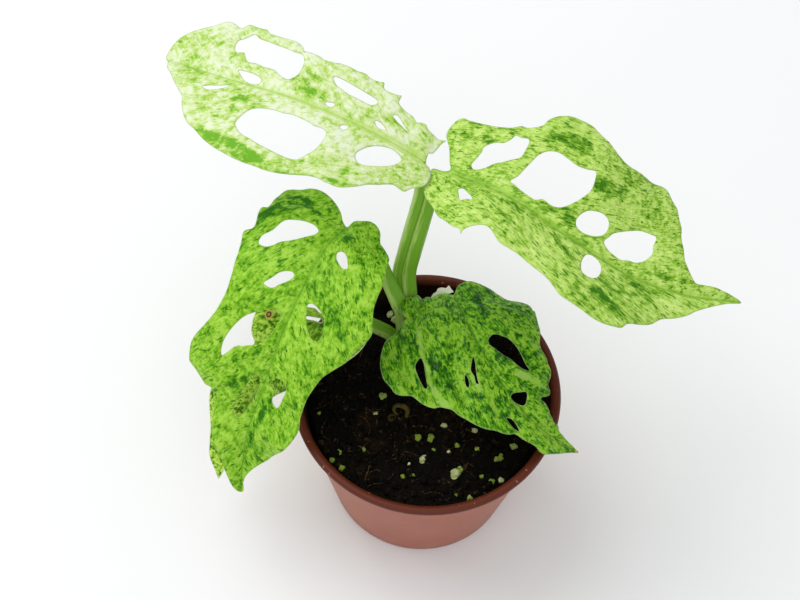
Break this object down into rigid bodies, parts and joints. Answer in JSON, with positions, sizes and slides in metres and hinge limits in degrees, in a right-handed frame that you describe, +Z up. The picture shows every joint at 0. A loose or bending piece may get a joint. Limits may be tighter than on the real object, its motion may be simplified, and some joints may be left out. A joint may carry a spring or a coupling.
{
  "type": "potted swiss cheese vine",
  "caption": "Young swiss cheese vine with speckled, marbled leaves that have natural holes, standing in a small terracotta-coloured plastic pot filled with dark potting mix.",
  "frame": {"origin": "centre of the pot's flat underside", "axes": "+Z up along the pot's axis, +Y away from the side over which the front leaf reaches, +X to the right seen from there"},
  "size_m": [0.2103, 0.1615, 0.1524],
  "materials": {
    "pot": "satin, dusty",
    "soil": "rough moist crumbs with pale grains",
    "stem": "satin green skin",
    "petiole": "satin green skin with pale streaks",
    "leaf_cream": "satin, cream with green flecks",
    "leaf_lime": "satin, lime with darker green flecks",
    "leaf_green": "satin, green with paler flecks and edge",
    "sheath": "dry and papery"
  },
  "bodies": {
    "root": {"pot": "pot", "soil": "soil", "stem": "stem", "petiole_upper_left": "petiole", "petiole_upper_right": "petiole", "petiole_middle_left": "petiole", "petiole_lower_left": "petiole", "petiole_front": "petiole", "leaf_upper_left": "leaf_cream", "leaf_upper_right": "leaf_lime", "leaf_middle_left": "leaf_lime", "leaf_lower_left": "leaf_green", "leaf_front": "leaf_green", "sheath_front": "sheath"}
  },
  "joints": []
}
